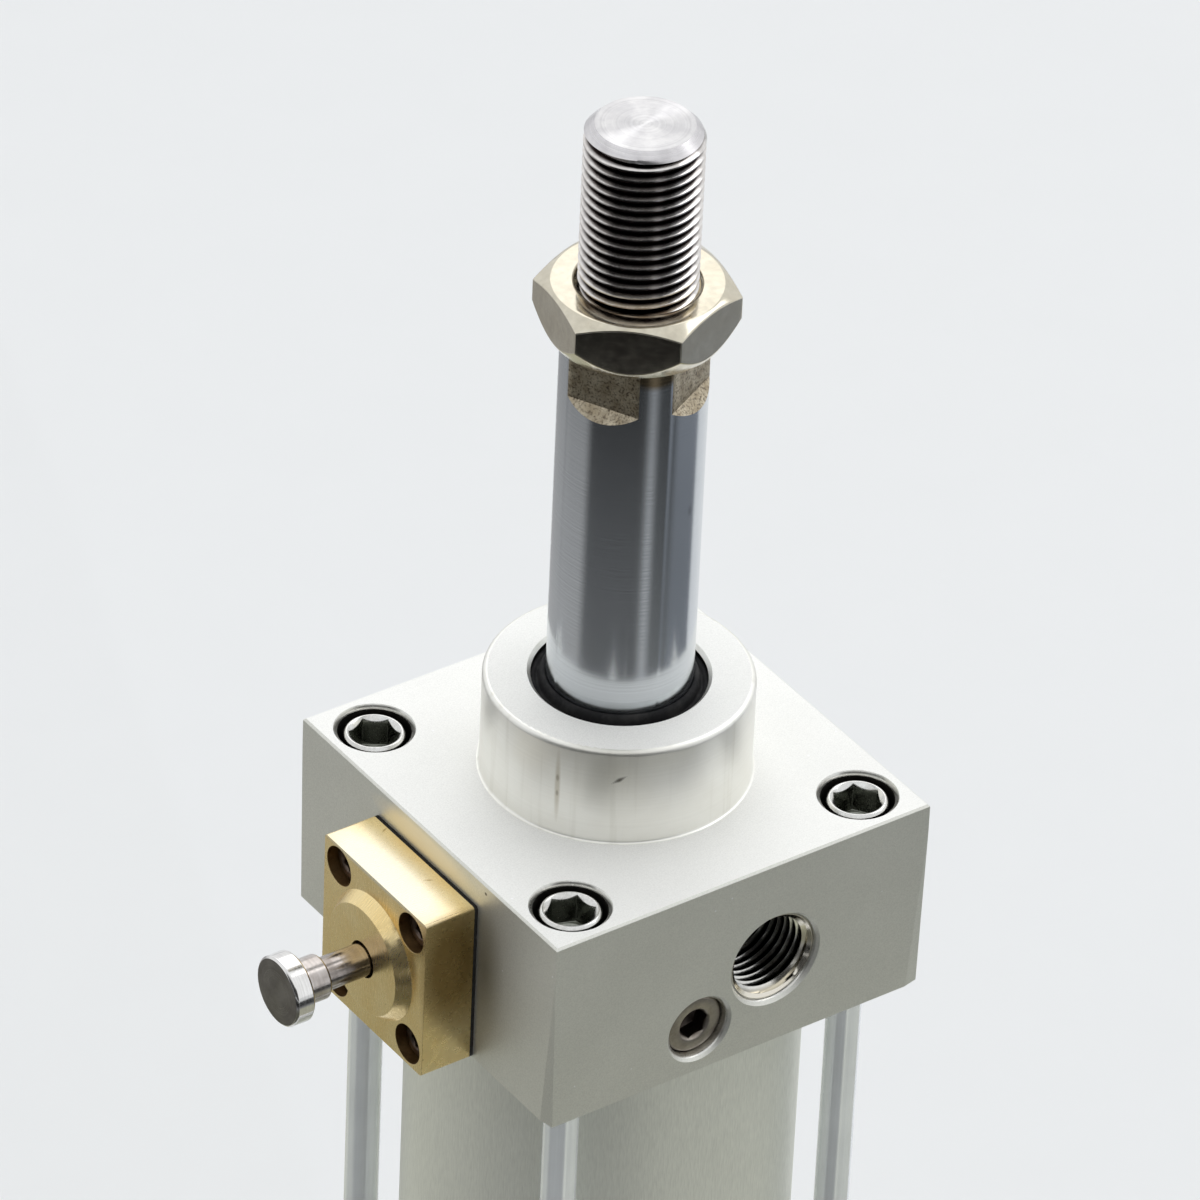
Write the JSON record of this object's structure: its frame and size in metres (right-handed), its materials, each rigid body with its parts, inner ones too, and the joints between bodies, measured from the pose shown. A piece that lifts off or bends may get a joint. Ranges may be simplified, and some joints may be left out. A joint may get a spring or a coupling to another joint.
{
  "type": "locking pneumatic cylinder",
  "caption": "Tie-rod pneumatic cylinder with square covers, threaded piston rod and nut, and a brass end lock with a pull pin that drops into a groove on the piston sleeve.",
  "frame": {"origin": "centre of the rear cover's outer face, on the rod's axis", "axes": "+Z along the rod, out of the head cover; the lock is on the -X face and the air ports are on the -Y faces"},
  "size_m": [0.0847, 0.061, 0.301],
  "materials": {
    "cover_aluminium": "matte anodised, slightly warm grey",
    "tube_aluminium": "matte anodised tube",
    "tie_rod_zinc": "bright zinc plated",
    "nut_steel": "bright zinc plated round nut",
    "seal_rubber": "black nitrile rubber",
    "bush_bronze": "sintered bronze",
    "lock_brass": "satin milled brass",
    "gasket_rubber": "thin black gasket sheet",
    "screw_steel": "dark steel socket screw",
    "spring_steel": "spring wire",
    "wear_plastic": "filled plastic guide band",
    "rod_chrome": "hard chrome, ground",
    "nut_nickel": "nickel plated",
    "piston_aluminium": "turned aluminium",
    "sleeve_steel": "hardened steel",
    "plunger_steel": "ground steel",
    "pin_steel": "turned steel",
    "needle_steel": "brown grey steel"
  },
  "bodies": {
    "cylinder_body": {"head_cover": "cover_aluminium", "rear_cover": "cover_aluminium", "barrel_tube": "tube_aluminium", "tie_rod_1": "tie_rod_zinc", "tie_rod_2": "tie_rod_zinc", "tie_rod_3": "tie_rod_zinc", "tie_rod_4": "tie_rod_zinc", "head_tie_rod_nuts": "nut_steel", "rear_tie_rod_nuts": "nut_steel", "head_tube_oring": "seal_rubber", "rear_tube_oring": "seal_rubber", "rod_bush": "bush_bronze", "rod_seal": "seal_rubber", "rod_wiper_seal": "seal_rubber", "head_cushion_seal": "seal_rubber", "rear_cushion_seal": "seal_rubber", "lock_cap": "lock_brass", "lock_gasket": "gasket_rubber", "lock_cap_screws": "screw_steel", "lock_spring": "spring_steel"},
    "piston_seals": {"piston_seal_front": "seal_rubber", "piston_seal_rear": "seal_rubber", "piston_wear_ring": "wear_plastic"},
    "rod_assembly": {"piston_rod": "rod_chrome", "rod_end_nut": "nut_nickel", "piston": "piston_aluminium", "piston_oring": "seal_rubber", "lock_sleeve": "sleeve_steel", "rear_cushion_spear": "sleeve_steel"},
    "lock_pin_group": {"lock_plunger": "plunger_steel", "lock_plunger_seal": "seal_rubber", "lock_pull_pin": "pin_steel"},
    "head_needle_ring": {"head_needle_oring": "seal_rubber"},
    "head_needle": {"head_cushion_needle": "needle_steel"},
    "rear_needle_ring": {"rear_needle_oring": "seal_rubber"},
    "rear_needle": {"rear_cushion_needle": "needle_steel"}
  },
  "joints": [
    {"name": "rod_slide", "type": "slide", "parent": "cylinder_body", "child": "piston_seals", "axis": [0, 0, 1], "range_m": [-0.04, 0.06]},
    {"name": "rod_turn", "type": "hinge", "parent": "piston_seals", "child": "rod_assembly", "pos_m": [0, 0, 0.09], "axis": [0, 0, 1], "continuous": true},
    {"name": "lock_pin_slide", "type": "slide", "parent": "cylinder_body", "child": "lock_pin_group", "axis": [1, 0, 0], "range_m": [0, 0.004], "stiffness_N_per_m": 1000, "springref_m": 0.008, "deforming": ["lock_spring"]},
    {"name": "head_needle_lift", "type": "slide", "parent": "cylinder_body", "child": "head_needle_ring", "axis": [0, -1, 0], "range_m": [-0.00075, 0.00112]},
    {"name": "head_needle_turn", "type": "hinge", "parent": "head_needle_ring", "child": "head_needle", "pos_m": [-0.0063, -0.027, 0.1759], "axis": [0, -1, 0], "range_deg": [-370, 550]},
    {"name": "rear_needle_lift", "type": "slide", "parent": "cylinder_body", "child": "rear_needle_ring", "axis": [0, -1, 0], "range_m": [-0.00075, 0.00112]},
    {"name": "rear_needle_turn", "type": "hinge", "parent": "rear_needle_ring", "child": "rear_needle", "pos_m": [-0.0063, -0.027, 0.0231], "axis": [0, -1, 0], "range_deg": [-370, 550]}
  ],
  "couplings": [
    {"joint": "head_needle_turn", "follows": "head_needle_lift", "rad_per_m": 8377.6},
    {"joint": "rear_needle_turn", "follows": "rear_needle_lift", "rad_per_m": 8377.6}
  ]
}
